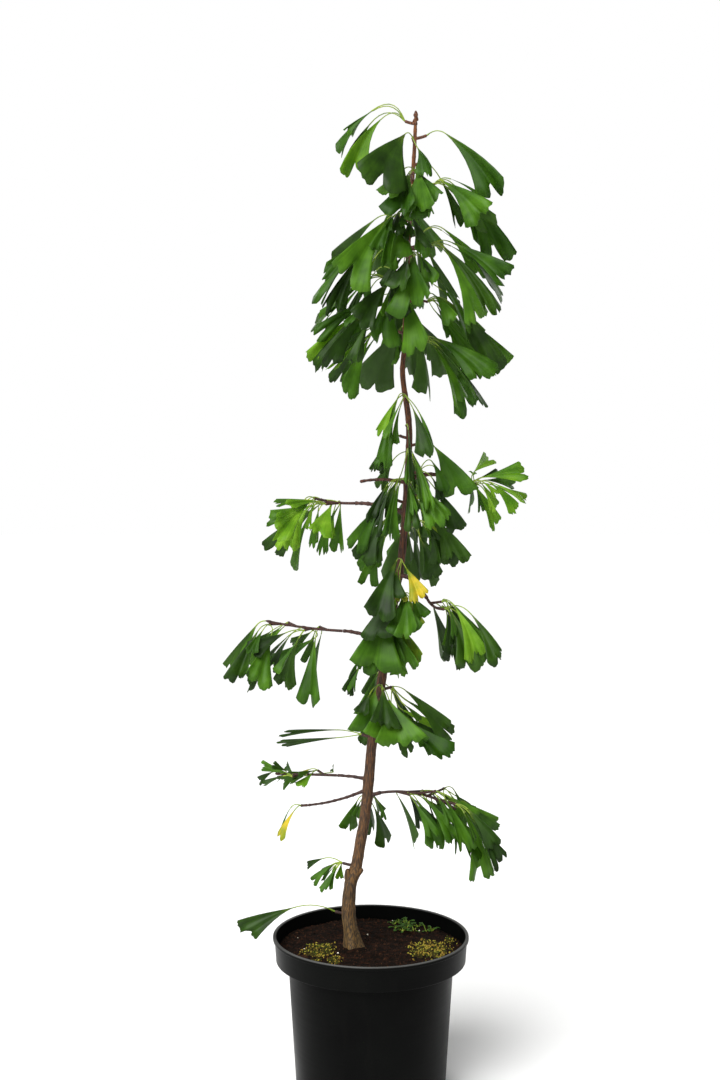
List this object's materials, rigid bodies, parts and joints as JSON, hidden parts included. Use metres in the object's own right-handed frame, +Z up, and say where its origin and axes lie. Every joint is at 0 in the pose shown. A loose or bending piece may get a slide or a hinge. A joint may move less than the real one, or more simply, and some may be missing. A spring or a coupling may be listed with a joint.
{
  "type": "potted ginkgo sapling",
  "caption": "Young ginkgo tree with a leaning, gently kinked trunk, short boughs and drooping fan leaves, standing in a round nursery pot of compost.",
  "frame": {"origin": "middle of the flat underside of the pot", "axes": "+Z up along the tree, -Y towards the side of the tree seen from the front, +X to the right of that view"},
  "size_m": [0.4412, 0.283, 1.4118],
  "materials": {
    "pot": "black moulded nursery pot, satin with dust and scuffs",
    "compost": "moist dark red-brown potting compost",
    "bark": "young ginkgo bark, grey-brown and fissured at the foot, smooth and orange-brown above",
    "foliage": "fresh to dark green ginkgo leaves, a few yellow"
  },
  "bodies": {
    "root": {"pot": "pot", "compost": "compost", "trunk": "bark", "bough_left_upper": "bark", "bough_left_stub": "bark", "bough_right_upper": "bark", "bough_right_middle": "bark", "bough_left_middle": "bark", "bough_left_lower": "bark", "bough_left_low": "bark", "bough_right_lower": "bark", "foliage_left_1": "foliage", "foliage_left_2": "foliage", "foliage_left_3": "foliage", "foliage_left_4": "foliage", "foliage_left_5": "foliage", "foliage_left_upper": "foliage", "foliage_left_middle": "foliage", "foliage_left_6": "foliage", "foliage_left_7": "foliage", "foliage_left_lower": "foliage", "foliage_left_low": "foliage", "foliage_left_kink": "foliage", "foliage_left_basal": "foliage", "foliage_right_1": "foliage", "foliage_right_2": "foliage", "foliage_right_3": "foliage", "foliage_right_4": "foliage", "foliage_right_upper": "foliage", "foliage_right_middle": "foliage", "foliage_right_lower": "foliage", "foliage_front_1": "foliage", "foliage_front_2": "foliage", "foliage_front_3": "foliage", "foliage_front_4": "foliage", "foliage_back_1": "foliage", "foliage_back_2": "foliage", "foliage_back_3": "foliage", "foliage_back_4": "foliage"}
  },
  "joints": []
}
